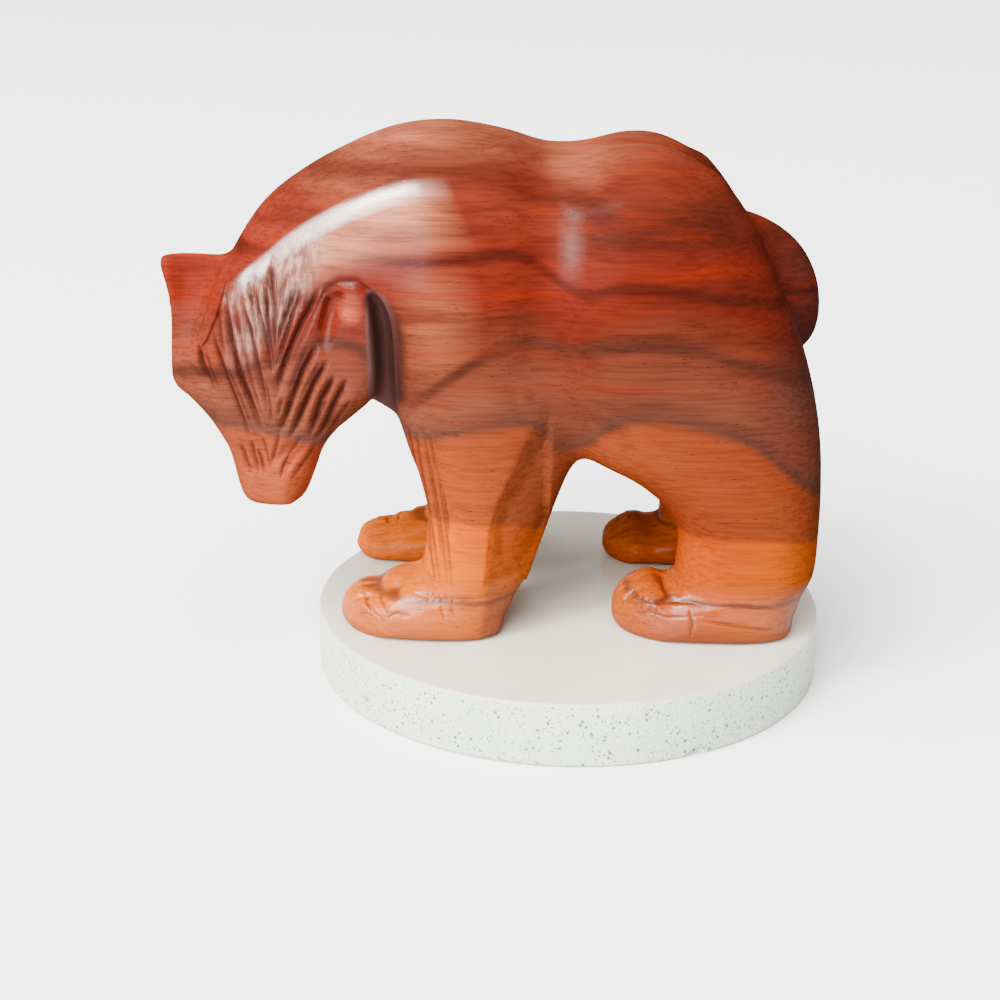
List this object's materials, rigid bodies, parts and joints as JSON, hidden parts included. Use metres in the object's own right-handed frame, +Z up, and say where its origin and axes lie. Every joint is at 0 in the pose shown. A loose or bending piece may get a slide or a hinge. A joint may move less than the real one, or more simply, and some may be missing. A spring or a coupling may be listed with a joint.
{
  "type": "carved animal figurine",
  "caption": "Carved rosewood bear with its head lowered and turned, standing on a round speckled white stone plinth.",
  "frame": {"origin": "centre of the plinth's flat underside", "axes": "+Z up out of the plinth; the bear walks towards -X and turns its head towards -Y, so its left side is the -Y side"},
  "size_m": [0.1373, 0.107, 0.1137],
  "materials": {
    "rosewood": "satin varnish over red-brown rosewood with darker grain",
    "stone": "white stone, polished top, honed side with dark grey-green specks"
  },
  "bodies": {
    "root": {"bear": "rosewood", "plinth": "stone"}
  },
  "joints": []
}
